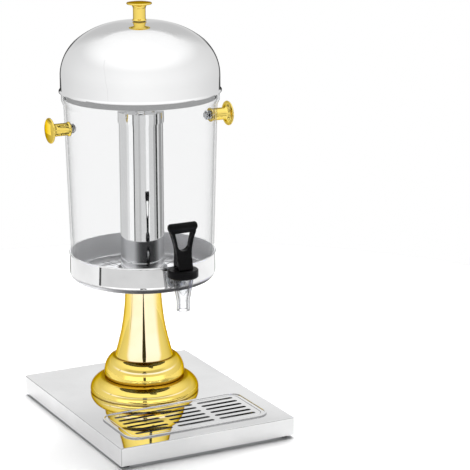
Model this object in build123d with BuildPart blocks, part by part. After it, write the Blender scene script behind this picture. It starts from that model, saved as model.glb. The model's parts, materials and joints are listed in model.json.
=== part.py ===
"""Single-tank juice dispenser: a clear jar on a turned pedestal, with a domed lid and a lever tap.

Millimetres. +Z is up, and the front, the tap's side, faces -Y.
The origin is on the floor under the base's centre.
"""
import os

from build123d import *

os.makedirs("parts", exist_ok=True)

# Base box
base_width = 260.0
base_depth = 340.0
base_height = 25.0
base_sheet = 1.2
base_corner = 3.0
base_edge = 1.2
base_flange = 34.0
bottom_plate = 1.2

# Feet and their screws
foot_height = 4.0
foot_radius = 6.2
foot_taper = 0.8
foot_inset = 11.0
foot_screw_radius = 2.0
foot_screw_head_radius = 3.0
foot_screw_head = 1.6
foot_screw_length = 9.0
foot_bore_depth = 2.0

# Drip tray and grille
tray_length = 214.0
tray_width = 104.0
tray_corner = 20.0
tray_margin = 23.0
tray_depth = 16.0
tray_sheet = 1.0
tray_rim = 7.0
tray_bead_width = 3.0
tray_bead_height = 1.2
tray_bead_round = 0.95
tray_ledge = 5.0
tray_ledge_depth = 3.0
grille_sheet = 1.2
grille_gap = 0.5
slot_length = 55.0
slot_width = 6.4
slot_pitch_x = 63.0
slot_pitch_y = 13.6
slot_columns = 3
slot_rows = 6

# Pedestal, turned about the container's axis
axis_from_front = 206.0
pedestal_height = 167.0
pedestal_wall = 1.5
pedestal_foot_radius = 76.4
lower_collar_radius = 77.0
lower_collar_height = 21.5
lower_collar_belly = 3.0
collar_crease_radius = 55.2
upper_collar_radius = 57.0
upper_collar_height = 30.5
upper_collar_belly = 5.0
column_foot_radius = 41.5
column_top_radius = 25.5
column_straight = 14.0
pedestal_cap = 6.0

# Container pan
pan_radius = 102.0
pan_height = 38.0
pan_sheet = 1.2
pan_corner = 10.0
pan_bead = 0.8
pan_bead_height = 1.5

# Clear jar
jar_height = 262.8
jar_wall = 3.0
jar_floor = 4.0
jar_gap = 0.6
jar_corner = 9.5
jar_inner_corner = 4.0
jar_taper = 5.6
jar_lip_step = 3.0
jar_lip_height = 12.0
jar_lip_flare = 7.0
jar_socket_wall = 3.5
jar_socket_height = 8.0

# Tie rod through the pedestal, its nuts and its washers
rod_radius = 4.0
rod_end = 3.0
rod_nut_flats = 13.0
rod_nut_height = 6.5
rod_washer_radius = 12.0
rod_washer = 1.5
floor_seal_radius = 11.0
floor_seal = 2.0
cap_nut_height = 12.0
cap_nut_cavity = 9.0

# Ice tube and its cap
tube_radius = 30.5
tube_sheet = 0.8
tube_height = 229.0
tube_floor_height = 20.0
tube_gap = 0.5
tube_cap_sheet = 1.0
tube_cap_skirt = 14.0
tube_cap_gap = 0.4
tube_cap_grip_radius = 9.0
tube_cap_grip_neck = 5.0
tube_cap_grip_height = 13.0
tube_cap_grip_crown = 2.0

# Domed lid and its knob
lid_sheet = 1.0
lid_overhang = 3.0
lid_bead = 1.2
lid_wall_height = 19.8
lid_shoulder = 64.0
lid_rise = 74.0
lid_skirt = 9.0
lid_skirt_gap = 0.8
lid_flat_radius = 16.0
lid_wall_inset = 2.0
lid_knob_height = 26.2
lid_washer = 1.0
lid_washer_radius = 8.4
lid_screw_radius = 2.5
lid_screw_head_radius = 4.5
lid_screw_head = 3.0
lid_screw_grip = 14.0

# The same mushroom knob serves on the lid and on the jar's sides
knob_radius = 17.4
knob_edge = 2.4
knob_edge_round = 0.8
knob_crown = 1.6
knob_flare = 6.0
knob_stem_radius = 8.6
knob_foot_radius = 9.6
knob_foot = 2.4

# Side knobs
side_knob_drop = 44.0
side_knob_length = 31.0
side_knob_collar_radius = 9.8
side_knob_collar = 3.0
side_washer_radius = 6.4
side_washer = 1.5
side_screw_radius = 2.9
side_screw_head_radius = 4.4
side_screw_head = 3.0
side_screw_grip = 16.0

# Tap
tap_height = 21.0
tap_wall = 3.0
tap_barrel_radius = 14.8
tap_neck_height = 16.0
tap_cone_top = 8.0
tap_cone_height = 32.0
tap_spout_radius = 9.2
tap_spout_length = 13.7
tap_shank_radius = 8.0
tap_shank_bore = 5.5
tap_shank_end = 4.0
tap_flange_radius = 13.4
tap_flange = 2.0
tap_gasket_radius = 11.5
tap_gasket = 2.2
tap_nut_flats = 24.0
tap_nut = 8.0

# Bonnet ring, its seal and the valve
bonnet_radius = 21.0
bonnet_skirt = 8.5
bonnet_top = 2.5
bonnet_edge = 1.2
bonnet_gap = 0.8
bonnet_seal = 1.5
stem_radius = 2.5
stem_bulb_radius = 4.0
stem_bulb = 3.0
stem_rise = 7.0
seat_height = 17.0
seat_gap = 0.2
cup_radius = 5.6
cup_height = 14.0
cup_tip_radius = 0.8
cup_tip_drop = 11.0
cup_grip = 9.0

# Lever
lever_fulcrum = 11.0
lever_toe_radius = 1.5
lever_heel = 9.0
lever_gap = 0.3
lever_width = 19.0
lever_waist = 21.6
lever_waist_height = 15.0
lever_shoulder_width = 36.5
lever_shoulder_height = 51.0
lever_arm_depth = 10.0
lever_bar_length = 42.0
lever_bar_radius = 5.8
lever_bar_height = 58.2
lever_bar_round = 3.4
loop_top_width = 26.0
loop_top_height = 51.0
loop_bottom_radius = 9.3
loop_bottom_height = 35.3
lever_round = 1.2
pin_radius = 1.5
pin_height = 4.0
pin_length = 17.0
pin_gap = 0.3
pin_travel = 2.4
fork_height = 8.5

# Clearance of a plain hole round a screw, rod, stem or shank
hole_gap = 0.3
thread_gap = 0.05

# Heights that follow from the sizes above
base_bottom = foot_height
base_top = base_bottom + base_height
pan_bottom = base_top + pedestal_height
pan_floor = pan_bottom + pan_sheet
pan_rim = pan_bottom + pan_height
jar_inside = pan_floor + jar_floor
jar_top = pan_floor + jar_height
lip_bottom = jar_top - jar_lip_height
taper_top = lip_bottom - jar_lip_flare
taper_bottom = pan_rim + 2 * pan_bead_height
tube_top = jar_inside + tube_height
dome_spring = jar_top + lid_bead + lid_wall_height
lid_top = dome_spring + lid_rise
knob_z = jar_top - side_knob_drop
tap_z = pan_bottom + tap_height
neck_top = tap_z + tap_neck_height
bonnet_bottom = neck_top + bonnet_seal - bonnet_skirt
bonnet_ceiling = bonnet_bottom + bonnet_skirt
lever_floor = bonnet_ceiling + bonnet_top
cone_top = tap_z + tap_cone_top
cone_bottom = cone_top - tap_cone_height
spout_bottom = cone_bottom - tap_spout_length
seat_z = cone_bottom + seat_height

# Radii and places that follow from the sizes above
base_front = -base_depth / 2
tray_y = base_front + tray_margin + tray_width / 2
axis_y = base_front + axis_from_front
rod_hole = rod_radius + hole_gap
jar_radius = pan_radius - pan_sheet - jar_gap
jar_mouth_radius = jar_radius + jar_taper
jar_lip_radius = jar_mouth_radius + jar_lip_step
lid_rim_radius = jar_lip_radius + lid_overhang
lid_wall_radius = lid_rim_radius - lid_wall_inset
lid_skirt_radius = jar_lip_radius - jar_wall - lid_skirt_gap
socket_radius = tube_radius + tube_gap
pan_front = axis_y - pan_radius
gasket_front = pan_front - tap_gasket
flange_front = gasket_front - tap_flange
tap_y = flange_front - bonnet_gap - bonnet_radius
jar_front = axis_y - jar_radius + jar_wall
tap_nut_front = jar_front + tap_gasket
shank_end = tap_nut_front + tap_nut + tap_shank_end

# Upright planes through the container's axis and the tap's axis: sketch X is +X and sketch Y is +Z
stand_plane = Plane.XZ.offset(-axis_y)
stand_axis = Axis((0, axis_y, 0), (0, 0, 1))
tap_plane = Plane.XZ.offset(-tap_y)
tap_axis = Axis((0, tap_y, 0), (0, 0, 1))

foot_x = base_width / 2 - foot_inset
foot_y = base_depth / 2 - foot_inset
foot_places = {
    "foot_front_left": (-foot_x, -foot_y),
    "foot_front_right": (foot_x, -foot_y),
    "foot_rear_left": (-foot_x, foot_y),
    "foot_rear_right": (foot_x, foot_y),
}


def save(piece, name):
    """Label a finished piece and write its file."""
    piece.part.label = name
    export_step(piece.part, f"parts/{name}.step")


def jar_radius_at(z):
    """Outer radius of the jar's tapered wall at a height."""
    return jar_radius + jar_taper * (z - taper_bottom) / (taper_top - taper_bottom)


# Base box: a folded sheet box, open below, with a return flange for the bottom plate
tray_opening_length = tray_length - 2 * tray_rim
tray_opening_width = tray_width - 2 * tray_rim
tray_opening_corner = tray_corner - tray_rim
inner_width = base_width - 2 * base_sheet
inner_depth = base_depth - 2 * base_sheet
flange_bottom = base_bottom + bottom_plate

with BuildPart() as base_housing:
    with BuildSketch(Plane.XY.offset(base_bottom)):
        RectangleRounded(base_width, base_depth, base_corner)
    extrude(amount=base_height)
    fillet(base_housing.faces().sort_by(Axis.Z)[-1].edges(), base_edge)
    with BuildSketch(Plane.XY.offset(base_bottom)):
        RectangleRounded(inner_width, inner_depth, base_corner - base_sheet)
    extrude(amount=base_height - base_sheet, mode=Mode.SUBTRACT)
    with BuildSketch(Plane.XY.offset(flange_bottom)):
        RectangleRounded(inner_width, inner_depth, base_corner - base_sheet)
        Rectangle(inner_width - 2 * base_flange, inner_depth - 2 * base_flange, mode=Mode.SUBTRACT)
        with Locations(*foot_places.values()):
            Circle(foot_screw_radius + thread_gap, mode=Mode.SUBTRACT)
    extrude(amount=base_sheet)
    with BuildSketch(Plane.XY.offset(base_top)):
        with Locations((0, tray_y)):
            RectangleRounded(
                tray_opening_length + 2 * hole_gap,
                tray_opening_width + 2 * hole_gap,
                tray_opening_corner + hole_gap,
            )
        with Locations((0, axis_y)):
            Circle(rod_hole)
    extrude(amount=-base_sheet, mode=Mode.SUBTRACT)
save(base_housing, "base_housing")

with BuildPart() as base_bottom_plate:
    with BuildSketch(Plane.XY.offset(base_bottom)):
        RectangleRounded(
            inner_width - 2 * hole_gap,
            inner_depth - 2 * hole_gap,
            base_corner - base_sheet,
        )
        with Locations(*foot_places.values()):
            Circle(foot_screw_radius + hole_gap, mode=Mode.SUBTRACT)
    extrude(amount=bottom_plate)
save(base_bottom_plate, "base_bottom_plate")

# Rubber feet, each with a bore for its screw's head
for foot_name, (x, y) in foot_places.items():
    with BuildPart() as foot:
        with BuildSketch(Plane(origin=(x, y, foot_height), x_dir=(1, 0, 0), z_dir=(0, 0, -1))):
            Circle(foot_radius)
        extrude(amount=foot_height)
        chamfer(foot.faces().sort_by(Axis.Z)[0].edges(), foot_height / 2, foot_taper)
        with Locations(Plane(origin=(x, y, 0), x_dir=(1, 0, 0), z_dir=(0, 0, -1))):
            CounterBoreHole(
                foot_screw_radius + hole_gap,
                foot_screw_head_radius + hole_gap,
                foot_bore_depth,
            )
    save(foot, foot_name)

with BuildPart() as foot_screws:
    for x, y in foot_places.values():
        with BuildSketch(Plane.XY.offset(foot_bore_depth)):
            with Locations((x, y)):
                Circle(foot_screw_head_radius)
        extrude(amount=-foot_screw_head)
        with BuildSketch(Plane.XY.offset(foot_bore_depth)):
            with Locations((x, y)):
                Circle(foot_screw_radius)
        extrude(amount=foot_screw_length)
save(foot_screws, "foot_screws")

# Drip tray: a pressed well with a ledge for the grille and a beaded rim on the base's top
ledge_top = base_top - tray_ledge_depth
well_bottom = base_top - tray_depth
tray_top = base_top + tray_sheet
well_length = tray_opening_length - 2 * tray_ledge
well_width = tray_opening_width - 2 * tray_ledge
well_corner = tray_opening_corner - tray_ledge

with BuildPart() as drip_tray:
    with BuildSketch(Plane.XY.offset(base_top)):
        with Locations((0, tray_y)):
            RectangleRounded(tray_length, tray_width, tray_corner)
    extrude(amount=tray_sheet)
    with BuildSketch(Plane.XY.offset(tray_top)):
        with Locations((0, tray_y)):
            RectangleRounded(tray_length, tray_width, tray_corner)
            RectangleRounded(
                tray_length - 2 * tray_bead_width,
                tray_width - 2 * tray_bead_width,
                tray_corner - tray_bead_width,
                mode=Mode.SUBTRACT,
            )
    extrude(amount=tray_bead_height)
    bead_edges = drip_tray.faces().sort_by(Axis.Z)[-1].edges()
    fillet(bead_edges, tray_bead_round)
    with BuildSketch(Plane.XY.offset(tray_top)):
        with Locations((0, tray_y)):
            RectangleRounded(tray_opening_length, tray_opening_width, tray_opening_corner)
    extrude(amount=-(tray_top - ledge_top + tray_sheet))
    with BuildSketch(Plane.XY.offset(ledge_top)):
        with Locations((0, tray_y)):
            RectangleRounded(well_length, well_width, well_corner)
    extrude(amount=-(ledge_top - well_bottom))
    with BuildSketch(Plane.XY.offset(tray_top)):
        with Locations((0, tray_y)):
            RectangleRounded(
                tray_opening_length - 2 * tray_sheet,
                tray_opening_width - 2 * tray_sheet,
                tray_opening_corner - tray_sheet,
            )
    extrude(amount=-(tray_top - ledge_top), mode=Mode.SUBTRACT)
    with BuildSketch(Plane.XY.offset(ledge_top)):
        with Locations((0, tray_y)):
            RectangleRounded(
                well_length - 2 * tray_sheet,
                well_width - 2 * tray_sheet,
                well_corner - tray_sheet,
            )
    extrude(amount=-(ledge_top - well_bottom - tray_sheet), mode=Mode.SUBTRACT)
save(drip_tray, "drip_tray")

# Slotted grille with a turned-down skirt that stands on the tray's ledge
grille_length = tray_opening_length - 2 * tray_sheet - 2 * grille_gap
grille_width = tray_opening_width - 2 * tray_sheet - 2 * grille_gap
grille_corner = tray_opening_corner - tray_sheet - grille_gap
grille_top = tray_top

with BuildPart() as drip_grille:
    with BuildSketch(Plane.XY.offset(ledge_top)):
        with Locations((0, tray_y)):
            RectangleRounded(grille_length, grille_width, grille_corner)
    extrude(amount=grille_top - ledge_top)
    fillet(drip_grille.faces().sort_by(Axis.Z)[-1].edges(), grille_sheet / 2)
    with BuildSketch(Plane.XY.offset(ledge_top)):
        with Locations((0, tray_y)):
            RectangleRounded(
                grille_length - 2 * grille_sheet,
                grille_width - 2 * grille_sheet,
                grille_corner - grille_sheet,
            )
    extrude(amount=grille_top - ledge_top - grille_sheet, mode=Mode.SUBTRACT)
    with BuildSketch(Plane.XY.offset(grille_top)):
        with Locations((0, tray_y)):
            with GridLocations(slot_pitch_x, slot_pitch_y, slot_columns, slot_rows):
                SlotOverall(slot_length, slot_width)
    extrude(amount=-grille_sheet, mode=Mode.SUBTRACT)
save(drip_grille, "drip_grille")

# Pedestal: two cushion collars under a trumpet column, spun hollow, with a thick cap under the pan
belly_z = base_top + lower_collar_belly
crease_z = base_top + lower_collar_height
upper_belly_z = crease_z + upper_collar_belly
column_foot_z = crease_z + upper_collar_height
column_straight_z = pan_bottom - column_straight


def pedestal_section(inset, top):
    """Half outline of the pedestal up to a height, set in from its skin and doubly so at the collars."""
    foot = (pedestal_foot_radius - 2 * inset, base_top)
    crease = (collar_crease_radius - 2 * inset, crease_z - inset)
    column_foot = (column_foot_radius - inset, column_foot_z - inset)
    lower_radius = lower_collar_radius - 2 * inset
    upper_radius = upper_collar_radius - 2 * inset
    neck_radius = column_top_radius - inset
    with BuildLine() as outline:
        Line((0, base_top), foot)
        TangentArc((lower_radius, belly_z), foot, tangent=(0, -1))
        EllipticalCenterArc(
            (crease[0], belly_z),
            lower_radius - crease[0],
            crease[1] - belly_z,
            start_angle=0,
            arc_size=90,
        )
        TangentArc((upper_radius, upper_belly_z), crease, tangent=(0, -1))
        EllipticalCenterArc(
            (column_foot[0], upper_belly_z),
            upper_radius - column_foot[0],
            column_foot[1] - upper_belly_z,
            start_angle=0,
            arc_size=90,
        )
        TangentArc((neck_radius, column_straight_z), column_foot, tangent=(0, -1))
        Polyline((neck_radius, column_straight_z), (neck_radius, top), (0, top), (0, base_top))
    return outline.edges()


with BuildPart() as pedestal:
    with BuildSketch(stand_plane):
        make_face(pedestal_section(0, pan_bottom))
        make_face(pedestal_section(pedestal_wall, pan_bottom - pedestal_cap), mode=Mode.SUBTRACT)
    revolve(axis=stand_axis)
    with Locations((0, axis_y, pan_bottom)):
        Hole(rod_hole, depth=2 * pedestal_cap)
save(pedestal, "pedestal")

# Steel pan under the jar, with a beaded rim
pan_inner_radius = pan_radius - pan_sheet
pan_inner_corner = pan_corner - pan_sheet

with BuildPart() as container_pan:
    with BuildSketch(stand_plane):
        with BuildLine():
            Line((rod_hole, pan_bottom), (pan_radius - pan_corner, pan_bottom))
            TangentArc(
                (pan_radius - pan_corner, pan_bottom),
                (pan_radius, pan_bottom + pan_corner),
                tangent=(1, 0),
            )
            Polyline(
                (pan_radius, pan_bottom + pan_corner),
                (pan_radius, pan_rim - pan_bead_height - pan_bead),
                (pan_radius + pan_bead, pan_rim - pan_bead_height),
                (pan_radius + pan_bead, pan_rim),
                (pan_inner_radius, pan_rim),
                (pan_inner_radius, pan_bottom + pan_corner),
            )
            TangentArc(
                (pan_inner_radius, pan_bottom + pan_corner),
                (pan_inner_radius - pan_inner_corner, pan_floor),
                tangent=(0, -1),
            )
            Polyline(
                (pan_inner_radius - pan_inner_corner, pan_floor),
                (rod_hole, pan_floor),
                (rod_hole, pan_bottom),
            )
        make_face()
    revolve(axis=stand_axis)
    with BuildSketch(stand_plane.offset(pan_radius / 2)):
        with Locations((0, tap_z)):
            Circle(tap_shank_radius + hole_gap)
    extrude(amount=pan_radius, mode=Mode.SUBTRACT)
save(container_pan, "container_pan")

# Clear jar: floor with a socket for the ice tube, tapered wall and a stepped-out lip for the lid
jar_inner_radius = jar_radius - jar_wall

with BuildPart() as jar:
    with BuildSketch(stand_plane):
        with BuildLine():
            Line((rod_hole, pan_floor), (jar_radius - jar_corner, pan_floor))
            TangentArc(
                (jar_radius - jar_corner, pan_floor),
                (jar_radius, pan_floor + jar_corner),
                tangent=(1, 0),
            )
            Polyline(
                (jar_radius, pan_floor + jar_corner),
                (jar_radius, taper_bottom),
                (jar_mouth_radius, taper_top),
                (jar_lip_radius, lip_bottom),
                (jar_lip_radius, jar_top),
                (jar_lip_radius - jar_wall, jar_top),
                (jar_lip_radius - jar_wall, lip_bottom),
                (jar_mouth_radius - jar_wall, taper_top),
                (jar_inner_radius, taper_bottom),
                (jar_inner_radius, jar_inside + jar_inner_corner),
            )
            TangentArc(
                (jar_inner_radius, jar_inside + jar_inner_corner),
                (jar_inner_radius - jar_inner_corner, jar_inside),
                tangent=(0, -1),
            )
            Polyline(
                (jar_inner_radius - jar_inner_corner, jar_inside),
                (socket_radius + jar_socket_wall, jar_inside),
                (socket_radius + jar_socket_wall, jar_inside + jar_socket_height),
                (socket_radius, jar_inside + jar_socket_height),
                (socket_radius, jar_inside),
                (rod_hole, jar_inside),
                (rod_hole, pan_floor),
            )
        make_face()
    revolve(axis=stand_axis)
    with BuildSketch(stand_plane.offset(jar_radius / 2)):
        with Locations((0, tap_z)):
            Circle(tap_shank_radius + hole_gap)
    extrude(amount=jar_radius, mode=Mode.SUBTRACT)
    with BuildSketch(Plane.YZ):
        with Locations((axis_y, knob_z)):
            Circle(side_screw_radius + hole_gap)
    extrude(amount=jar_lip_radius, both=True, mode=Mode.SUBTRACT)
save(jar, "jar")

# Tie rod, with a nut and washer under the base's top and a sealed cap nut on the jar's floor
rod_washer_bottom = base_top - base_sheet - rod_washer
rod_nut_bottom = rod_washer_bottom - rod_nut_height
seal_top = jar_inside + floor_seal
floor_washer_top = seal_top + rod_washer
rod_bottom = rod_nut_bottom - rod_end
rod_top = floor_washer_top + cap_nut_cavity - rod_end

with BuildPart() as tie_rod:
    with BuildSketch(Plane.XY.offset(rod_bottom)):
        with Locations((0, axis_y)):
            Circle(rod_radius)
    extrude(amount=rod_top - rod_bottom)
    chamfer(tie_rod.edges().filter_by(GeomType.CIRCLE), rod_radius / 5)
save(tie_rod, "tie_rod")


def rod_ring(name, bottom, height, outer_radius):
    """A flat washer or seal round the tie rod."""
    with BuildPart() as ring:
        with BuildSketch(Plane.XY.offset(bottom)):
            with Locations((0, axis_y)):
                Circle(outer_radius)
                Circle(rod_hole, mode=Mode.SUBTRACT)
        extrude(amount=height)
    save(ring, name)


rod_ring("tie_rod_washer", rod_washer_bottom, rod_washer, rod_washer_radius)
rod_ring("jar_floor_seal", jar_inside, floor_seal, floor_seal_radius)
rod_ring("jar_floor_washer", seal_top, rod_washer, floor_seal_radius)

with BuildPart() as tie_rod_nut:
    with BuildSketch(Plane.XY.offset(rod_nut_bottom)):
        with Locations((0, axis_y)):
            RegularPolygon(rod_nut_flats / 2, 6, major_radius=False)
            Circle(rod_radius + thread_gap, mode=Mode.SUBTRACT)
    extrude(amount=rod_nut_height)
save(tie_rod_nut, "tie_rod_nut")

with BuildPart() as cap_nut:
    with BuildSketch(Plane.XY.offset(floor_washer_top)):
        with Locations((0, axis_y)):
            RegularPolygon(rod_nut_flats / 2, 6, major_radius=False)
    extrude(amount=cap_nut_height / 2)
    with BuildSketch(Plane.XY.offset(floor_washer_top + cap_nut_height / 2)):
        with Locations((0, axis_y)):
            Circle(rod_nut_flats / 2)
    extrude(amount=cap_nut_height / 2)
    fillet(cap_nut.faces().sort_by(Axis.Z)[-1].edges(), cap_nut_height / 3)
    with BuildSketch(Plane.XY.offset(floor_washer_top)):
        with Locations((0, axis_y)):
            Circle(rod_radius + thread_gap)
    extrude(amount=cap_nut_cavity, mode=Mode.SUBTRACT)
save(cap_nut, "cap_nut")

# Ice tube: its floor is raised on a skirt that stands in the jar's socket, over the cap nut
tube_floor = jar_inside + tube_floor_height

with BuildPart() as ice_tube:
    with BuildSketch(stand_plane):
        with BuildLine():
            Polyline(
                (0, tube_floor),
                (tube_radius - tube_sheet, tube_floor),
                (tube_radius - tube_sheet, jar_inside),
                (tube_radius, jar_inside),
                (tube_radius, tube_top),
                (tube_radius - tube_sheet, tube_top),
                (tube_radius - tube_sheet, tube_floor + tube_sheet),
                (0, tube_floor + tube_sheet),
                close=True,
            )
        make_face()
    revolve(axis=stand_axis)
save(ice_tube, "ice_tube")

cap_inner_radius = tube_radius + tube_cap_gap
cap_radius = cap_inner_radius + tube_cap_sheet
cap_top = tube_top + tube_cap_sheet
grip_top = cap_top + tube_cap_grip_height

with BuildPart() as ice_tube_cap:
    with BuildSketch(stand_plane):
        with BuildLine():
            Polyline(
                (0, tube_top),
                (cap_inner_radius, tube_top),
                (cap_inner_radius, tube_top - tube_cap_skirt),
                (cap_radius, tube_top - tube_cap_skirt),
                (cap_radius, cap_top),
                (tube_cap_grip_neck, cap_top),
            )
            TangentArc(
                (tube_cap_grip_neck, cap_top),
                (tube_cap_grip_radius, grip_top - tube_cap_grip_crown),
                tangent=(0, 1),
            )
            TangentArc(
                (0, grip_top),
                (tube_cap_grip_radius, grip_top - tube_cap_grip_crown),
                tangent=(1, 0),
            )
            Line((0, grip_top), (0, tube_top))
        make_face()
    revolve(axis=stand_axis)
save(ice_tube_cap, "ice_tube_cap")

# Domed lid: a skirt inside the jar's lip, a rolled rim on it, a short upright wall and a two-arc dome
lid_under = lid_top - lid_sheet
lid_rim_top = jar_top + lid_bead
lid_inner_radius = lid_wall_radius - lid_sheet
shoulder_reach = lid_wall_radius - lid_shoulder - lid_flat_radius
crown_radius = (shoulder_reach**2 + lid_rise**2 - lid_shoulder**2) / (2 * (lid_rise - lid_shoulder))
crown_center = Vector(lid_flat_radius, lid_top - crown_radius)
shoulder_center = Vector(lid_wall_radius - lid_shoulder, dome_spring)
crown_way = (shoulder_center - crown_center).normalized()
outer_meet = crown_center + crown_way * crown_radius
inner_meet = crown_center + crown_way * (crown_radius - lid_sheet)

with BuildPart() as lid_dome:
    with BuildSketch(stand_plane):
        with BuildLine():
            Polyline(
                (lid_screw_radius + hole_gap, lid_top),
                (lid_flat_radius, lid_top),
            )
            TangentArc((lid_flat_radius, lid_top), outer_meet, tangent=(1, 0))
            TangentArc(
                (lid_wall_radius, dome_spring),
                outer_meet,
                tangent=(0, 1),
            )
            Polyline(
                (lid_wall_radius, dome_spring),
                (lid_wall_radius, lid_rim_top + lid_wall_inset),
                (lid_rim_radius, lid_rim_top),
                (lid_rim_radius, jar_top),
                (lid_skirt_radius, jar_top),
                (lid_skirt_radius, jar_top - lid_skirt),
                (lid_skirt_radius - lid_sheet, jar_top - lid_skirt),
                (lid_skirt_radius - lid_sheet, lid_rim_top),
                (lid_inner_radius, lid_rim_top + lid_wall_inset),
                (lid_inner_radius, dome_spring),
            )
            TangentArc(
                (lid_inner_radius, dome_spring),
                inner_meet,
                tangent=(0, 1),
            )
            TangentArc((lid_flat_radius, lid_under), inner_meet, tangent=(1, 0))
            Polyline(
                (lid_flat_radius, lid_under),
                (lid_screw_radius + hole_gap, lid_under),
                (lid_screw_radius + hole_gap, lid_top),
            )
        make_face()
    revolve(axis=stand_axis)
save(lid_dome, "lid_dome")


def turned_knob(name, foot_plane, length, base_radius, base_thickness, bore_radius, bore_depth):
    """A mushroom knob on a plane: its foot, stem, flare and crowned head, with a blind screw hole."""
    head_bottom = length - knob_crown - knob_edge
    head_top = head_bottom + knob_edge
    head_inset = knob_radius - knob_edge_round
    flare_bottom = head_bottom - knob_flare
    section = Plane(
        origin=foot_plane.origin,
        x_dir=foot_plane.x_dir,
        z_dir=foot_plane.x_dir.cross(foot_plane.z_dir),
    )
    with BuildPart() as knob:
        with BuildSketch(section):
            with BuildLine():
                Polyline(
                    (0, length),
                    (0, 0),
                    (base_radius, 0),
                    (base_radius, base_thickness / 2),
                    (knob_stem_radius, base_thickness),
                    (knob_stem_radius, flare_bottom),
                )
                TangentArc((knob_stem_radius, flare_bottom), (head_inset, head_bottom), tangent=(0, 1))
                ThreePointArc(
                    (head_inset, head_bottom),
                    (knob_radius, (head_bottom + head_top) / 2),
                    (head_inset, head_top),
                )
                TangentArc((0, length), (head_inset, head_top), tangent=(1, 0))
            make_face()
        revolve(axis=Axis(foot_plane.origin, foot_plane.z_dir))
        with BuildSketch(foot_plane):
            Circle(bore_radius)
        extrude(amount=bore_depth, mode=Mode.SUBTRACT)
    save(knob, name)


# Lid knob with its sealing washers and the screw that holds it from inside the dome
knob_foot_z = lid_top + lid_washer
lid_screw_head_top = lid_under - lid_washer

turned_knob(
    "lid_knob",
    Plane(origin=(0, axis_y, knob_foot_z), x_dir=(1, 0, 0), z_dir=(0, 0, 1)),
    lid_knob_height,
    knob_foot_radius,
    knob_foot,
    lid_screw_radius + thread_gap,
    lid_screw_grip + lid_washer,
)

lid_washers = {"lid_knob_washer": lid_top, "lid_inner_washer": lid_screw_head_top}

for washer_name, washer_bottom in lid_washers.items():
    with BuildPart() as washer:
        with BuildSketch(Plane.XY.offset(washer_bottom)):
            with Locations((0, axis_y)):
                Circle(lid_washer_radius)
                Circle(lid_screw_radius + hole_gap, mode=Mode.SUBTRACT)
        extrude(amount=lid_washer)
    save(washer, washer_name)

with BuildPart() as lid_knob_screw:
    with BuildSketch(Plane.XY.offset(lid_screw_head_top)):
        with Locations((0, axis_y)):
            Circle(lid_screw_head_radius)
    extrude(amount=-lid_screw_head)
    fillet(lid_knob_screw.faces().sort_by(Axis.Z)[0].edges(), lid_screw_head / 2)
    with BuildSketch(Plane.XY.offset(lid_screw_head_top)):
        with Locations((0, axis_y)):
            Circle(lid_screw_radius)
    extrude(amount=knob_foot_z + lid_screw_grip - lid_screw_head_top)
save(lid_knob_screw, "lid_knob_screw")

# Side knobs: each is drawn up by a screw from inside the jar, with a washer on either face of the wall
wall_outside = jar_radius_at(knob_z)
wall_inside = wall_outside - jar_wall
knob_seat = wall_outside + side_washer
screw_seat = wall_inside - side_washer
taper_outline = (
    (0, taper_bottom),
    (jar_radius, taper_bottom),
    (jar_mouth_radius, taper_top),
    (0, taper_top),
)
bore_outline = (
    (0, taper_bottom),
    (jar_inner_radius - thread_gap, taper_bottom),
    (jar_mouth_radius - jar_wall - thread_gap, taper_top),
    (0, taper_top),
)

for side, way in (("left", -1), ("right", 1)):
    side_plane = Plane(origin=(0, axis_y, knob_z), x_dir=(0, 0, 1), z_dir=(way, 0, 0))
    turned_knob(
        f"side_knob_{side}",
        side_plane.offset(knob_seat),
        side_knob_length,
        side_knob_collar_radius,
        side_knob_collar,
        side_screw_radius + thread_gap,
        side_screw_grip + side_washer,
    )

    with BuildPart() as outer_washer:
        with BuildSketch(side_plane.offset(knob_seat)):
            Circle(side_washer_radius)
            Circle(side_screw_radius + hole_gap, mode=Mode.SUBTRACT)
        extrude(amount=-2 * side_washer)
        with BuildSketch(stand_plane):
            Polygon(*taper_outline, align=None)
        revolve(axis=stand_axis, mode=Mode.SUBTRACT)
    save(outer_washer, f"side_knob_washer_{side}")

    with BuildPart() as inner_washer:
        with BuildSketch(side_plane.offset(screw_seat)):
            Circle(side_washer_radius)
            Circle(side_screw_radius + hole_gap, mode=Mode.SUBTRACT)
        extrude(amount=2 * side_washer)
        with BuildSketch(stand_plane):
            Polygon(*bore_outline, align=None)
        revolve(axis=stand_axis, mode=Mode.INTERSECT)
    save(inner_washer, f"side_screw_washer_{side}")

    with BuildPart() as side_screw:
        with BuildSketch(side_plane.offset(screw_seat)):
            Circle(side_screw_head_radius)
        extrude(amount=-side_screw_head)
        fillet(side_screw.faces().sort_by(Axis.X)[0 if way > 0 else -1].edges(), side_screw_head / 2)
        with BuildSketch(side_plane.offset(screw_seat)):
            Circle(side_screw_radius)
        extrude(amount=knob_seat + side_screw_grip - screw_seat)
    save(side_screw, f"side_knob_screw_{side}")

# Clear tap body: a barrel that narrows to a spout, and a shank through the pan and the jar
barrel_bore = tap_barrel_radius - tap_wall
spout_bore = tap_spout_radius - tap_wall

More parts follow.
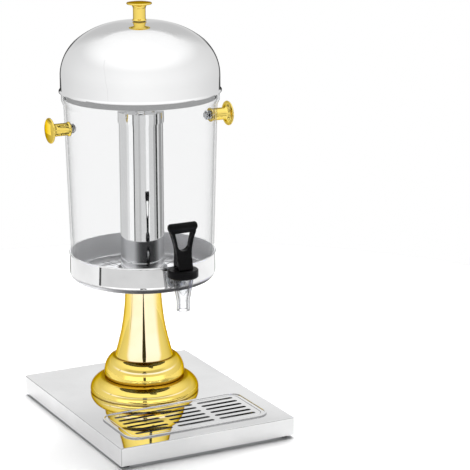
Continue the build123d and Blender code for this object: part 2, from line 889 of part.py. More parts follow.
with BuildPart() as tap_body:
    with BuildSketch(tap_plane):
        with BuildLine():
            Polyline(
                (0, spout_bottom),
                (tap_spout_radius, spout_bottom),
                (tap_spout_radius, cone_bottom),
                (tap_barrel_radius, cone_top),
                (tap_barrel_radius, neck_top),
                (0, neck_top),
                close=True,
            )
        make_face()
    revolve(axis=tap_axis)
    with BuildSketch(tap_plane):
        with Locations((0, tap_z)):
            Circle(tap_shank_radius)
    extrude(amount=-(shank_end - tap_y))
    with BuildSketch(Plane.XZ.offset(-flange_front)):
        with Locations((0, tap_z)):
            Circle(tap_flange_radius)
    extrude(amount=-tap_flange)
    with BuildSketch(tap_plane):
        with BuildLine():
            Polyline(
                (0, spout_bottom),
                (spout_bore, spout_bottom),
                (spout_bore, cone_bottom),
                (barrel_bore, cone_top),
                (barrel_bore, neck_top),
                (0, neck_top),
                close=True,
            )
        make_face()
    revolve(axis=tap_axis, mode=Mode.SUBTRACT)
    with BuildSketch(tap_plane):
        with Locations((0, tap_z)):
            Circle(tap_shank_bore)
    extrude(amount=-(shank_end - tap_y), mode=Mode.SUBTRACT)
save(tap_body, "tap_body")

# Tap gaskets, shaped to the round wall on either side, and the nut inside the jar
with BuildPart() as tap_gasket_outer:
    with BuildSketch(Plane.XZ.offset(-gasket_front)):
        with Locations((0, tap_z)):
            Circle(tap_gasket_radius)
            Circle(tap_shank_radius + hole_gap, mode=Mode.SUBTRACT)
    extrude(amount=-2 * tap_gasket)
    with BuildSketch(Plane.XY.offset(pan_bottom)):
        with Locations((0, axis_y)):
            Circle(pan_radius)
    extrude(amount=pan_height, mode=Mode.SUBTRACT)
save(tap_gasket_outer, "tap_gasket_outer")

with BuildPart() as tap_gasket_inner:
    with BuildSketch(Plane.XZ.offset(-tap_nut_front)):
        with Locations((0, tap_z)):
            Circle(tap_gasket_radius)
            Circle(tap_shank_radius + hole_gap, mode=Mode.SUBTRACT)
    extrude(amount=2 * tap_gasket)
    with BuildSketch(Plane.XY.offset(jar_inside)):
        with Locations((0, axis_y)):
            Circle(jar_inner_radius)
    extrude(amount=pan_height, mode=Mode.INTERSECT)
save(tap_gasket_inner, "tap_gasket_inner")

with BuildPart() as tap_nut_piece:
    with BuildSketch(Plane.XZ.offset(-tap_nut_front)):
        with Locations((0, tap_z)):
            RegularPolygon(tap_nut_flats / 2, 6, major_radius=False)
            Circle(tap_shank_radius + thread_gap, mode=Mode.SUBTRACT)
    extrude(amount=-tap_nut)
save(tap_nut_piece, "tap_nut")

# Bonnet ring screwed over the barrel's neck, with a seal under its top
neck_bore = tap_barrel_radius + hole_gap
stem_hole = stem_radius + hole_gap

with BuildPart() as tap_bonnet:
    with BuildSketch(tap_plane):
        with BuildLine():
            Polyline(
                (neck_bore, bonnet_bottom),
                (bonnet_radius - bonnet_edge, bonnet_bottom),
                (bonnet_radius, bonnet_bottom + bonnet_edge),
                (bonnet_radius, lever_floor - bonnet_edge),
                (bonnet_radius - bonnet_edge, lever_floor),
                (stem_hole, lever_floor),
                (stem_hole, bonnet_ceiling),
                (neck_bore, bonnet_ceiling),
                close=True,
            )
        make_face()
    revolve(axis=tap_axis)
save(tap_bonnet, "tap_bonnet")

with BuildPart() as bonnet_seal_ring:
    with BuildSketch(Plane.XY.offset(neck_top)):
        with Locations((0, tap_y)):
            Circle(tap_barrel_radius)
            Circle(stem_hole, mode=Mode.SUBTRACT)
    extrude(amount=bonnet_seal)
save(bonnet_seal_ring, "bonnet_seal")

# Seat cup: a soft pointed plug that closes the barrel's cone
seat_radius = spout_bore + (barrel_bore - spout_bore) * seat_height / tap_cone_height - seat_gap
cup_top = seat_z + cup_height
cup_tip = seat_z - cup_tip_drop
bulb_bottom = cup_top - cup_grip
stem_top = lever_floor + stem_rise

with BuildPart() as seat_cup:
    with BuildSketch(tap_plane):
        with BuildLine():
            Polyline(
                (0, cup_tip),
                (cup_tip_radius, cup_tip),
                (seat_radius, seat_z),
                (cup_radius, seat_z + seat_radius - cup_radius),
                (cup_radius, cup_top),
                (stem_radius + thread_gap, cup_top),
                (stem_radius + thread_gap, bulb_bottom + stem_bulb + thread_gap),
                (stem_bulb_radius + thread_gap, bulb_bottom + stem_bulb + thread_gap),
                (stem_bulb_radius + thread_gap, bulb_bottom),
                (0, bulb_bottom),
                close=True,
            )
        make_face()
    revolve(axis=tap_axis)
save(seat_cup, "seat_cup")

# Valve stem, with a bulb held in the cup and a cross hole for the lever's pin
with BuildPart() as valve_stem:
    with BuildSketch(tap_plane):
        with BuildLine():
            Polyline(
                (0, bulb_bottom),
                (stem_bulb_radius, bulb_bottom),
                (stem_bulb_radius, bulb_bottom + stem_bulb),
                (stem_radius, bulb_bottom + stem_bulb),
                (stem_radius, stem_top),
                (0, stem_top),
                close=True,
            )
        make_face()
    revolve(axis=tap_axis)
    with BuildSketch(Plane.YZ):
        with Locations((tap_y, lever_floor + pin_height)):
            Circle(pin_radius + thread_gap)
    extrude(amount=2 * stem_radius, both=True, mode=Mode.SUBTRACT)
save(valve_stem, "valve_stem")

with BuildPart() as lever_pin:
    with BuildSketch(Plane.YZ.offset(-pin_length / 2)):
        with Locations((tap_y, lever_floor + pin_height)):
            Circle(pin_radius)
    extrude(amount=pin_length)
save(lever_pin, "lever_pin")

# Lever: it rocks on its round toe, and its fork lifts the stem by the pin
toe_y = tap_y - lever_fulcrum
lever_front = toe_y - lever_toe_radius
lever_back = tap_y + lever_heel
arm_front = tap_y - lever_arm_depth / 2
arm_back = tap_y + lever_arm_depth / 2
lever_bottom = lever_floor + lever_gap
toe_z = lever_bottom + lever_toe_radius
waist_z = lever_floor + lever_waist_height
shoulder_x = lever_shoulder_width / 2
shoulder_z = lever_floor + lever_shoulder_height
bar_z = lever_floor + lever_bar_height
bar_top = bar_z + lever_bar_radius
bar_half = lever_bar_length / 2
loop_top = lever_floor + loop_top_height
loop_bottom = lever_floor + loop_bottom_height

with BuildPart() as tap_lever:
    with BuildSketch(tap_plane):
        with BuildLine() as right_side:
            Line((0, lever_bottom), (lever_width / 2, lever_bottom))
            TangentArc((lever_waist / 2, waist_z), (lever_width / 2, lever_bottom), tangent=(0, -1))
            TangentArc((lever_waist / 2, waist_z), (shoulder_x, shoulder_z), tangent=(0, 1))
            Polyline((shoulder_x, shoulder_z), (shoulder_x, bar_z), (0, bar_z))
            Line((0, bar_z), (0, lever_bottom))
        make_face()
        mirror(about=Plane.YZ)
        with BuildLine():
            Line((-loop_top_width / 2, loop_top), (loop_top_width / 2, loop_top))
            Line((loop_top_width / 2, loop_top), (loop_bottom_radius, loop_bottom))
            ThreePointArc(
                (loop_bottom_radius, loop_bottom),
                (0, loop_bottom - loop_bottom_radius),
                (-loop_bottom_radius, loop_bottom),
            )
            Line((-loop_bottom_radius, loop_bottom), (-loop_top_width / 2, loop_top))
        make_face(mode=Mode.SUBTRACT)
    extrude(amount=lever_width, both=True)
    with BuildSketch(Plane.YZ):
        with BuildLine():
            Line((toe_y, lever_bottom), (lever_back, lever_bottom))
            TangentArc((arm_back, loop_bottom), (lever_back, lever_bottom), tangent=(0, -1))
            Polyline(
                (arm_back, loop_bottom),
                (arm_back, bar_z),
                (arm_front, bar_z),
                (arm_front, loop_bottom),
            )
            TangentArc((arm_front, loop_bottom), (lever_front, toe_z), tangent=(0, -1))
            TangentArc((lever_front, toe_z), (toe_y, lever_bottom), tangent=(0, -1))
        make_face()
    extrude(amount=lever_bar_length, both=True, mode=Mode.INTERSECT)
    side_edges = tap_lever.edges().filter_by(Axis.Y, reverse=True).filter_by(Axis.X, reverse=True)
    fillet(side_edges.filter_by_position(Axis.Z, toe_z, bar_z - lever_round), lever_round)
    with BuildSketch(tap_plane):
        with BuildLine():
            Line((-bar_half, bar_z), (bar_half, bar_z))
            Line((bar_half, bar_z), (bar_half, bar_top - lever_bar_round))
            TangentArc(
                (bar_half, bar_top - lever_bar_round),
                (bar_half - lever_bar_round, bar_top),
                tangent=(0, 1),
            )
            Line((bar_half - lever_bar_round, bar_top), (lever_bar_round - bar_half, bar_top))
            TangentArc(
                (lever_bar_round - bar_half, bar_top),
                (-bar_half, bar_top - lever_bar_round),
                tangent=(-1, 0),
            )
            Line((-bar_half, bar_top - lever_bar_round), (-bar_half, bar_z))
        make_face()
    revolve(axis=Axis((0, tap_y, bar_z), (1, 0, 0)))
    with BuildSketch(Plane.XY.offset(lever_bottom)):
        with Locations((0, tap_y - stem_hole)):
            Rectangle(2 * stem_hole, lever_heel + 2 * stem_hole, align=(Align.CENTER, Align.MIN))
    extrude(amount=fork_height, mode=Mode.SUBTRACT)
    with BuildSketch(Plane.YZ):
        with Locations((tap_y - pin_radius - pin_gap, lever_floor + pin_height)):
            Rectangle(
                2 * (pin_radius + pin_gap) + pin_travel,
                2 * (pin_radius + pin_gap),
                align=(Align.MIN, Align.CENTER),
            )
    extrude(amount=lever_width, both=True, mode=Mode.SUBTRACT)
save(tap_lever, "tap_lever")
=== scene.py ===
"""Looks of a juice dispenser: finishes, detail pieces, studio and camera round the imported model.

Metres. +Z is up, and the front, the tap's side, faces -Y.
"""

import json
import logging
import math
from dataclasses import dataclass
from enum import Enum
from typing import Any

import bpy
import numpy as np
from mathutils import Matrix, Vector

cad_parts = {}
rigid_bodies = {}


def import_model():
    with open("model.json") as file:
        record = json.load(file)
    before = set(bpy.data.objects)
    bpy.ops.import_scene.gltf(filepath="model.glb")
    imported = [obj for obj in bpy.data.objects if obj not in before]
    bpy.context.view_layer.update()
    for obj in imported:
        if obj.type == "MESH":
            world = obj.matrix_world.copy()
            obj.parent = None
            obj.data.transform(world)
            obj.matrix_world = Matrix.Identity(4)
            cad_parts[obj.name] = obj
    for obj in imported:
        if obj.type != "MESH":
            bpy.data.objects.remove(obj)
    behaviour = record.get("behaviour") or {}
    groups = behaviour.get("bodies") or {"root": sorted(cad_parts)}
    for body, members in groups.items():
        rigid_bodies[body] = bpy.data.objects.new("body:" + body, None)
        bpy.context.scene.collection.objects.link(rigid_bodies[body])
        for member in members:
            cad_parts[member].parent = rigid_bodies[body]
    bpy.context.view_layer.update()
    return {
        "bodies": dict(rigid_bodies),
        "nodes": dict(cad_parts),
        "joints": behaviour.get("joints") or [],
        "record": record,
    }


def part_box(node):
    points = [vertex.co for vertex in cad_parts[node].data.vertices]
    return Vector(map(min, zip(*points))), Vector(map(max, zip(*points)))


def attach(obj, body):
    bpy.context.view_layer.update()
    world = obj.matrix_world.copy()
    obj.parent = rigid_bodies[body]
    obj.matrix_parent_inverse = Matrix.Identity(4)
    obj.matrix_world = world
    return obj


LOG = logging.getLogger("juice_dispenser")
MM = 0.001
Colour = tuple[float, float, float]
Point = tuple[float, float, float]
Span = tuple[float, float]
UP: Point = (0.0, 0.0, 1.0)
BLACK: Colour = (0.0, 0.0, 0.0)
WHITE: Colour = (1.0, 1.0, 1.0)
# How far the pedestal, the container and the lid stand behind the base's middle
AXIS_Y = 36.0 * MM
# The noise's values at which a cloud starts and is full, and the octaves of noise for each use
CLOUD_EDGES: Span = (0.3, 0.7)
CLOUD_DETAIL = 4.0
SOFT_DETAIL = 3.0
GRAIN_DETAIL = 2.0
PLASTIC_IOR = 1.5
# Points round a ring, round the section of a rolled edge and round that of a thin line
RING_STEPS = 256
ROLL_SIDES = 16
LINE_SIDES = 12
# A colour Mix node's inputs and output
MIX_SHARE, MIX_LOW, MIX_HIGH, MIX_RESULT = 0, 6, 7, 2
# What a studio card stays hidden from, so that only mirrors see it
HIDDEN_FROM = ("camera", "diffuse", "transmission", "volume_scatter", "shadow")


class Slot(Enum):
    """The record's material slots."""

    POLISHED_STEEL = "polished_steel"
    GOLD_PLATE = "gold_plate"
    PLAIN_STEEL = "plain_steel"
    CLEAR_JAR = "clear_jar"
    CLEAR_TAP = "clear_tap"
    BLACK_PLASTIC = "black_plastic"
    BLACK_RUBBER = "black_rubber"
    SOFT_SEAL = "soft_seal"


class Body(Enum):
    """The record's bodies that added pieces ride on."""

    STAND = "stand"
    LID = "lid"


class Wire:
    """An output socket of a node tree, with operators that add Math nodes."""

    def __init__(self, shading: "Shading", socket: bpy.types.NodeSocket) -> None:
        """Keep the tree and the socket."""
        self.shading = shading
        self.socket = socket

    def math(self, operation: str, *values: "Wire | float") -> "Wire":
        """Add a Math node.

        Args:
            operation: The node's operation.
            values: The operands, in order.

        Returns:
            The node's result.
        """
        return self.shading.wire("ShaderNodeMath", {"operation": operation}, dict(enumerate(values)))

    def __add__(self, other: "Wire | float") -> "Wire":
        """Sum."""
        return self.math("ADD", self, other)

    def __radd__(self, other: float) -> "Wire":
        """Sum with a number on the left."""
        return self.math("ADD", other, self)

    def __sub__(self, other: "Wire | float") -> "Wire":
        """Difference."""
        return self.math("SUBTRACT", self, other)

    def __rsub__(self, other: float) -> "Wire":
        """Difference with a number on the left."""
        return self.math("SUBTRACT", other, self)

    def __mul__(self, other: "Wire | float") -> "Wire":
        """Product."""
        return self.math("MULTIPLY", self, other)

    def __rmul__(self, other: float) -> "Wire":
        """Product with a number on the left."""
        return self.math("MULTIPLY", other, self)

    def __truediv__(self, other: "Wire | float") -> "Wire":
        """Quotient."""
        return self.math("DIVIDE", self, other)

    def __rtruediv__(self, other: float) -> "Wire":
        """Quotient with a number on the left."""
        return self.math("DIVIDE", other, self)

    def __pow__(self, other: "Wire | float") -> "Wire":
        """Power."""
        return self.math("POWER", self, other)

    def __rpow__(self, other: float) -> "Wire":
        """Power with a number as its base."""
        return self.math("POWER", other, self)

    def __abs__(self) -> "Wire":
        """Absolute value."""
        return self.math("ABSOLUTE", self)

    def most(self, other: "Wire") -> "Wire":
        """The larger of two values."""
        return self.math("MAXIMUM", self, other)

    def above(self, limit: float) -> "Wire":
        """1 above a limit, 0 below it."""
        return self.math("GREATER_THAN", self, limit)

    def below(self, limit: float) -> "Wire":
        """1 below a limit, 0 above it."""
        return self.math("LESS_THAN", self, limit)

    def ease(self, low: float, high: float) -> "Wire":
        """A smooth step.

        Args:
            low: Where it leaves 0.
            high: Where it reaches 1.

        Returns:
            The step, from 0 to 1.
        """
        settings = {"interpolation_type": "SMOOTHSTEP"}
        sockets = {"Value": self, "From Min": low, "From Max": high, "To Min": 0.0, "To Max": 1.0}
        return self.shading.wire("ShaderNodeMapRange", settings, sockets)

    def band(self, centre: float, half: float, soft: float) -> "Wire":
        """1 within half of centre, falling smoothly to 0 over soft."""
        return 1.0 - abs(self - centre).ease(half, half + soft)

    def raised(self, least: float) -> "Wire":
        """A value from 0 to 1, raised so that it runs from least to 1."""
        return least + (1.0 - least) * self


class Shading:
    """The node tree of a material or of the world."""

    def __init__(self, tree: bpy.types.NodeTree) -> None:
        """Start from an empty tree."""
        self.tree = tree
        tree.nodes.clear()

    def node(
        self,
        kind: str,
        settings: dict[str, Any] | None = None,
        sockets: dict[int | str, Any] | None = None,
    ) -> bpy.types.Node:
        """Add a node of any type.

        Args:
            kind: The node's type.
            settings: Its properties, which are set first.
            sockets: The values or links of its inputs, by name or number.

        Returns:
            The new node.
        """
        made = self.tree.nodes.new(kind)
        for key, value in (settings or {}).items():
            setattr(made, key, value)
        for key, value in (sockets or {}).items():
            if isinstance(value, Wire):
                self.tree.links.new(value.socket, made.inputs[key])
            else:
                made.inputs[key].default_value = value
        return made

    def wire(
        self,
        kind: str,
        settings: dict[str, Any] | None = None,
        sockets: dict[int | str, Any] | None = None,
        out: int | str = 0,
    ) -> Wire:
        """Add a node and give one of its outputs.

        Args:
            kind: The node's type.
            settings: Its properties.
            sockets: Its inputs.
            out: The wanted output's name or number.

        Returns:
            That output.
        """
        return Wire(self, self.node(kind, settings, sockets).outputs[out])

    def place(self) -> Wire:
        """The point in Object coordinates, which are the part's own frame."""
        return self.wire("ShaderNodeTexCoord", out="Object")

    def parts(self, vector: Wire) -> tuple[Wire, Wire, Wire]:
        """The three components of a vector."""
        split = self.node("ShaderNodeSeparateXYZ", None, {"Vector": vector})
        return tuple(Wire(self, split.outputs[axis]) for axis in "XYZ")

    def mapped(self, vector: Wire, **sockets: Point) -> Wire:
        """A vector through a Mapping node with the named Location, Rotation or Scale."""
        return self.wire("ShaderNodeMapping", None, {"Vector": vector, **sockets})

    def noise(self, vector: Wire, scale: float, detail: float, rough: float = 0.5) -> Wire:
        """Cloudy noise from 0 to 1, with about scale clouds in a metre."""
        sockets = {"Vector": vector, "Scale": scale, "Detail": detail, "Roughness": rough}
        return self.wire("ShaderNodeTexNoise", None, sockets)

    def blend(self, share: Wire, low: Colour | Wire, high: Colour | Wire) -> Wire:
        """A colour between two others.

        Args:
            share: How far it is from the low colour to the high one, from 0 to 1.
            low: The colour at 0.
            high: The colour at 1.

        Returns:
            The colour.
        """
        low, high = (tone if isinstance(tone, Wire) else (*tone, 1.0) for tone in (low, high))
        sockets = {MIX_SHARE: share, MIX_LOW: low, MIX_HIGH: high}
        return self.wire("ShaderNodeMix", {"data_type": "RGBA"}, sockets, MIX_RESULT)

    def mix(self, share: Wire, first: Wire, second: Wire) -> Wire:
        """The first shader with a share of the second."""
        return self.wire("ShaderNodeMixShader", None, {0: share, 1: first, 2: second})

    def bump(self, height: Wire, depth: float, strength: float = 1.0) -> Wire:
        """A normal bumped by height, whose full range is depth metres."""
        sockets = {"Height": height, "Distance": depth, "Strength": strength}
        return self.wire("ShaderNodeBump", None, sockets)

    def shader(self, **sockets: Any) -> Wire:
        """A Principled shader, with spaces in its socket names written as underscores."""
        named = {key.replace("_", " "): value for key, value in sockets.items()}
        return self.wire("ShaderNodeBsdfPrincipled", None, named)

    def show(self, surface: Wire) -> None:
        """Send a shader to the material's output."""
        self.node("ShaderNodeOutputMaterial", None, {"Surface": surface})


def new_material(name: str) -> tuple[bpy.types.Material, Shading]:
    """A new material.

    Args:
        name: Its name.

    Returns:
        The material and its empty node tree.
    """
    made = bpy.data.materials.new(name)
    made.use_nodes = True
    return made, Shading(made.node_tree)


@dataclass(frozen=True)
class Finish:
    """What a surface is made of and how it is worked."""

    name: str

    def paint(self, shading: Shading) -> Wire:
        """The finish's shader, which each kind of finish makes."""
        raise NotImplementedError

    def material(self) -> bpy.types.Material:
        """Make the finish.

        Returns:
            A new material with this finish.
        """
        made, shading = new_material(self.name)
        shading.show(self.paint(shading))
        return made


@dataclass(frozen=True)
class Steel(Finish):
    """Stainless steel, polished or plain, with the faint clouds that polishing leaves."""

    dark: Colour
    light: Colour
    gloss: float
    haze: float
    haze_edges: Span = (0.35, 0.75)
    cloud: float = 11.0
    lines: float = 0.0
    line_squash: Point = (1.0, 1.0, 40.0)
    line_depth: float = 0.02 * MM

    def paint(self, shading: Shading) -> Wire:
        """Steel whose tone and haze vary by slow clouds, and by fine lines where it is plain.

        Args:
            shading: The material's tree.

        Returns:
            The shader.
        """
        spot = shading.place()
        clouds = shading.noise(spot, self.cloud, CLOUD_DETAIL)
        sockets = {
            "Base_Color": shading.blend(clouds.ease(*CLOUD_EDGES), self.dark, self.light),
            "Roughness": self.gloss + self.haze * clouds.ease(*self.haze_edges),
            "Metallic": 1.0,
        }
        if self.lines:
            squashed = shading.mapped(spot, Scale=self.line_squash)
            grain = shading.noise(squashed, self.lines, GRAIN_DETAIL)
            sockets["Normal"] = shading.bump(grain, self.line_depth)
        return shading.shader(**sockets)


@dataclass(frozen=True)
class Crease:
    """A band of heights that gets painted shade, with how dark that shade is from 0 to 1."""

    centre: float
    half: float
    soft: float
    depth: float


def painted_crease_shade(z: Wire, creases: tuple[Crease, ...]) -> Wire:
    """How dark the painted shade of the deepest crease is at a height.

    Args:
        z: The height.
        creases: All the creases.

    Returns:
        The shade's darkness, from 0 to 1.
    """
    depth = 0.0 * z
    for crease in creases:
        depth = depth.most(crease.depth * z.band(crease.centre, crease.half, crease.soft))
    return depth


@dataclass(frozen=True)
class CreasedSteel(Finish):
    """Polished steel with painted shade, and more roughness, in bands of height and at a box's
    upright corners.
    """

    steel: Steel
    creases: tuple[Crease, ...]
    # Colour of the painted shade in the creases and corner folds
    painted_shade: Colour = (0.1, 0.1, 0.105)
    dull_haze: float = 0.25
    cloud_least: float = 0.9
    half_box: Span | None = None
    corner: float = 1.5 * MM
    # How dark the painted shade at the upright corners is
    corner_shade_depth: float = 0.7

    def paint(self, shading: Shading) -> Wire:
        """The steel's clouds, with painted shade and more roughness at the deepest crease or corner
        fold at the point.

        Args:
            shading: The material's tree.

        Returns:
            The shader.
        """
        spot = shading.place()
        x, y, z = shading.parts(spot)
        clouds = shading.noise(spot, self.steel.cloud, CLOUD_DETAIL).ease(*CLOUD_EDGES)
        # Painted shade: the darkest crease or corner fold at the point
        depth = painted_crease_shade(z, self.creases)
        if self.half_box:
            wide, deep = self.half_box
            fold = abs(x).ease(wide - self.corner, wide - self.corner / 2)
            fold = fold * abs(y).ease(deep - self.corner, deep - self.corner / 2)
            depth = depth.most(self.corner_shade_depth * fold)
        tone = (1.0 - depth) * clouds.raised(self.cloud_least)
        return shading.shader(
            Base_Color=shading.blend(tone, self.painted_shade, self.steel.light),
            Roughness=self.steel.gloss + self.steel.haze * clouds + self.dull_haze * depth,
            Metallic=1.0,
        )


@dataclass(frozen=True)
class PanSteel(Finish):
    """The container pan: polished outside with painted shade at its bottom corner, satin inside round
    the jar.

    The painted shade along the bead pressed into its floor, and the painted shade towards the front
    inside, are placed by shares of its radius.
    """

    outside: Steel
    inside: Colour
    inside_gloss: float
    radius: float
    floor: float
    corner: float
    axis_y: float
    cloud_least: float = 0.8
    # Painted shade at the bottom corner and underneath, up from this share of the corner's height
    painted_corner_shade: Colour = (0.12, 0.12, 0.125)
    corner_shade_from: float = 0.4
    # Painted shade along a bead in the floor: its place, half width and soft edge as shares of the
    # radius, the heights over which it fades out, and how dark it is
    bead: tuple[float, float, float] = (0.75, 0.02, 0.03)
    bead_rise: Span = (1.0 * MM, 2.0 * MM)
    bead_shade_depth: float = 0.5
    # Painted shade towards the front inside, and where it starts and ends as shares of the radius
    shade: Colour = (0.16, 0.16, 0.165)
    shade_edges: Span = (-0.95, -0.4)
    turning: float = 60.0
    turning_squash: Point = (0.2, 0.2, 30.0)
    turning_least: float = 0.85
    turning_haze: float = 0.1

    def paint(self, shading: Shading) -> Wire:
        """Polished steel outside the given radius or below the floor, satin turned steel elsewhere,
        with painted shade at the bottom corner, along the bead and towards the front inside.

        Args:
            shading: The material's tree.

        Returns:
            The shader.
        """
        spot = shading.place()
        x, y, z = shading.parts(shading.mapped(spot, Location=(0.0, -self.axis_y, 0.0)))
        reach = (x * x + y * y) ** 0.5
        within = reach.below(self.radius) * z.above(self.floor)
        clouds = shading.noise(spot, self.outside.cloud, CLOUD_DETAIL).ease(*CLOUD_EDGES)
        squashed = shading.mapped(spot, Scale=self.turning_squash)
        turned = shading.noise(squashed, self.turning, GRAIN_DETAIL)
        # Painted shade at the bottom corner and underneath
        unshaded = z.ease(self.floor + self.corner_shade_from * self.corner, self.floor + self.corner)
        unshaded = unshaded * clouds.raised(self.cloud_least)
        polished = shading.blend(unshaded, self.painted_corner_shade, self.outside.light)
        # Painted shade along the bead and towards the front inside
        bead = reach.band(*(share * self.radius for share in self.bead))
        bead = bead * (1.0 - z.ease(*(self.floor + rise for rise in self.bead_rise)))
        rear = y.ease(*(share * self.radius for share in self.shade_edges))
        rear = rear * turned.raised(self.turning_least) * (1.0 - self.bead_shade_depth * bead)
        satin = shading.blend(rear, self.shade, self.inside)
        rough = self.outside.gloss + self.outside.haze * clouds
        satin_rough = self.inside_gloss + self.turning_haze * turned
        return shading.shader(
            Base_Color=shading.blend(within, polished, satin),
            Roughness=rough * (1.0 - within) + within * satin_rough,
            Metallic=1.0,
        )


@dataclass(frozen=True)
class Gold(Finish):
    """Bright gold plating with slow changes of depth, and painted brown shade in the creases between
    its turned forms.
    """

    pale: Colour
    deep: Colour
    gloss: float
    haze: float
    creases: tuple[Crease, ...] = ()
    # Colour of the painted shade in the creases
    painted_brown_shade: Colour = (0.2, 0.11, 0.02)
    brown_haze: float = 0.2
    rim: Colour = (0.52, 0.35, 0.1)
    cloud: float = 14.0
    wipe: float = 60.0
    wipe_edges: Span = (0.4, 0.8)

    def paint(self, shading: Shading) -> Wire:
        """Mirror plating, a little deeper in colour at the clouds and hazed where it was wiped.

        Args:
            shading: The material's tree.

        Returns:
            The shader.
        """
        spot = shading.place()
        clouds = shading.noise(spot, self.cloud, SOFT_DETAIL).ease(*CLOUD_EDGES)
        wipe = shading.noise(spot, self.wipe, CLOUD_DETAIL).ease(*self.wipe_edges)
        colour = shading.blend(clouds, self.pale, self.deep)
        rough = self.gloss + self.haze * wipe
        # Painted shade: brown in the creases
        if self.creases:
            depth = painted_crease_shade(shading.parts(spot)[2], self.creases)
            colour = shading.blend(depth, colour, self.painted_brown_shade)
            rough = rough + self.brown_haze * depth
        return shading.shader(
            Base_Color=colour,
            Roughness=rough,
            Metallic=1.0,
            Specular_Tint=(*self.rim, 1.0),
        )


@dataclass(frozen=True)
class Clear(Finish):
    """Clear moulded plastic: see-through face on, greyer with painted shade and glossier towards its
    edges.
    """

    tint: Colour
    edge: Colour
    least: float
    most: float
    power: float
    gloss: float
    flange_y: float | None = None
    flange_soft: float = 2.0 * MM
    flange_loss: float = 0.7
    flow: float = 30.0
    flow_squash: Point = (1.0, 1.0, 0.25)
    flow_depth: float = 0.4 * MM
    flow_strength: float = 0.3
    flow_haze: float = 0.02
    flow_tone: float = 0.9

    def paint(self, shading: Shading) -> Wire:
        """A transparent shader mixed with a glossy one by how much the wall turns away.

        The glossy share is less behind a flange.

        Args:
            shading: The material's tree.

        Returns:
            The shader.
        """
        spot = shading.place()
        squashed = shading.mapped(spot, Scale=self.flow_squash)
        flow = shading.noise(squashed, self.flow, GRAIN_DETAIL)
        # Share of the grey wall, which paints shade at the glancing edges
        turn = shading.wire("ShaderNodeLayerWeight", None, {"Blend": 0.5}, "Facing")
        share = self.least + (self.most - self.least) * turn ** self.power
        if self.flange_y is not None:
            behind = shading.parts(spot)[1].ease(self.flange_y - self.flange_soft, self.flange_y)
            share = share * (1.0 - self.flange_loss * behind)
        # Painted shade at the edges, a little darker along the flow marks
        deeper = tuple(self.flow_tone * tone for tone in self.edge)
        wall = shading.shader(
            Base_Color=shading.blend(flow, self.edge, deeper),
            Roughness=self.gloss + self.flow_haze * flow,
            IOR=PLASTIC_IOR,
            Normal=shading.bump(flow, self.flow_depth, self.flow_strength),
        )
        through = shading.wire("ShaderNodeBsdfTransparent", None, {"Color": (*self.tint, 1.0)})
        return shading.mix(share, through, wall)


@dataclass(frozen=True)
class Moulded(Finish):
    """Opaque moulded plastic, rubber or silicone with a fine texture."""

    dark: Colour
    light: Colour
    gloss: float
    haze: float
    grain: float
    depth: float
    shine: float = 0.5
    cloud: float = 45.0
    grain_rough: float = 0.6

    def paint(self, shading: Shading) -> Wire:
        """A coloured shader with clouds in its colour and a fine grain in its gloss and surface.

        Args:
            shading: The material's tree.

        Returns:
            The shader.
        """
        spot = shading.place()
        clouds = shading.noise(spot, self.cloud, SOFT_DETAIL).ease(*CLOUD_EDGES)
        grain = shading.noise(spot, self.grain, CLOUD_DETAIL, self.grain_rough)
        return shading.shader(
            Base_Color=shading.blend(clouds, self.dark, self.light),
            Roughness=self.gloss + self.haze * grain,
            IOR=PLASTIC_IOR,
            Specular_IOR_Level=self.shine,
            Normal=shading.bump(grain, self.depth),
        )


FINISHES: dict[Slot, Finish] = {
    Slot.POLISHED_STEEL: Steel(
        "polished steel",
        dark=(0.865, 0.868, 0.872),
        light=(0.895, 0.896, 0.898),
        gloss=0.03,
        haze=0.02,
    ),
    Slot.GOLD_PLATE: Gold(
        "gold plate",
        pale=(0.94, 0.73, 0.19),
        deep=(0.9, 0.67, 0.14),
        gloss=0.03,
        haze=0.03,
    ),
    Slot.PLAIN_STEEL: Steel(
        "plain steel",
        dark=(0.56, 0.57, 0.59),
        light=(0.7, 0.71, 0.73),
        gloss=0.2,
        haze=0.14,
        cloud=40.0,
        lines=900.0,
    ),
    Slot.CLEAR_JAR: Clear(
        "clear jar",
        tint=(0.988, 0.989, 0.99),
        edge=(0.32, 0.33, 0.34),
        least=0.012,
        most=0.9,
        power=7.0,
        gloss=0.03,
    ),
    Slot.CLEAR_TAP: Clear(
        "clear tap",
        tint=(0.975, 0.977, 0.98),
        edge=(0.05, 0.05, 0.055),
        least=0.02,
        most=0.97,
        power=1.3,
        gloss=0.05,
        flange_y=-74.0 * MM,
    ),
    Slot.BLACK_PLASTIC: Moulded(
        "black plastic",
        dark=(0.008, 0.008, 0.009),
        light=(0.014, 0.014, 0.015),
        gloss=0.22,
        haze=0.12,
        grain=900.0,
        depth=0.04 * MM,
        shine=0.06,
    ),
    Slot.BLACK_RUBBER: Moulded(
        "black rubber",
        dark=(0.012, 0.012, 0.012),
        light=(0.025, 0.025, 0.026),
        gloss=0.6,
        haze=0.25,
        grain=700.0,
        depth=0.1 * MM,
        shine=0.08,
    ),
    Slot.SOFT_SEAL: Moulded(
        "soft seal",
        dark=(0.72, 0.74, 0.77),
        light=(0.82, 0.84, 0.86),
        gloss=0.38,
        haze=0.15,
        grain=500.0,
        depth=0.04 * MM,
    ),
}


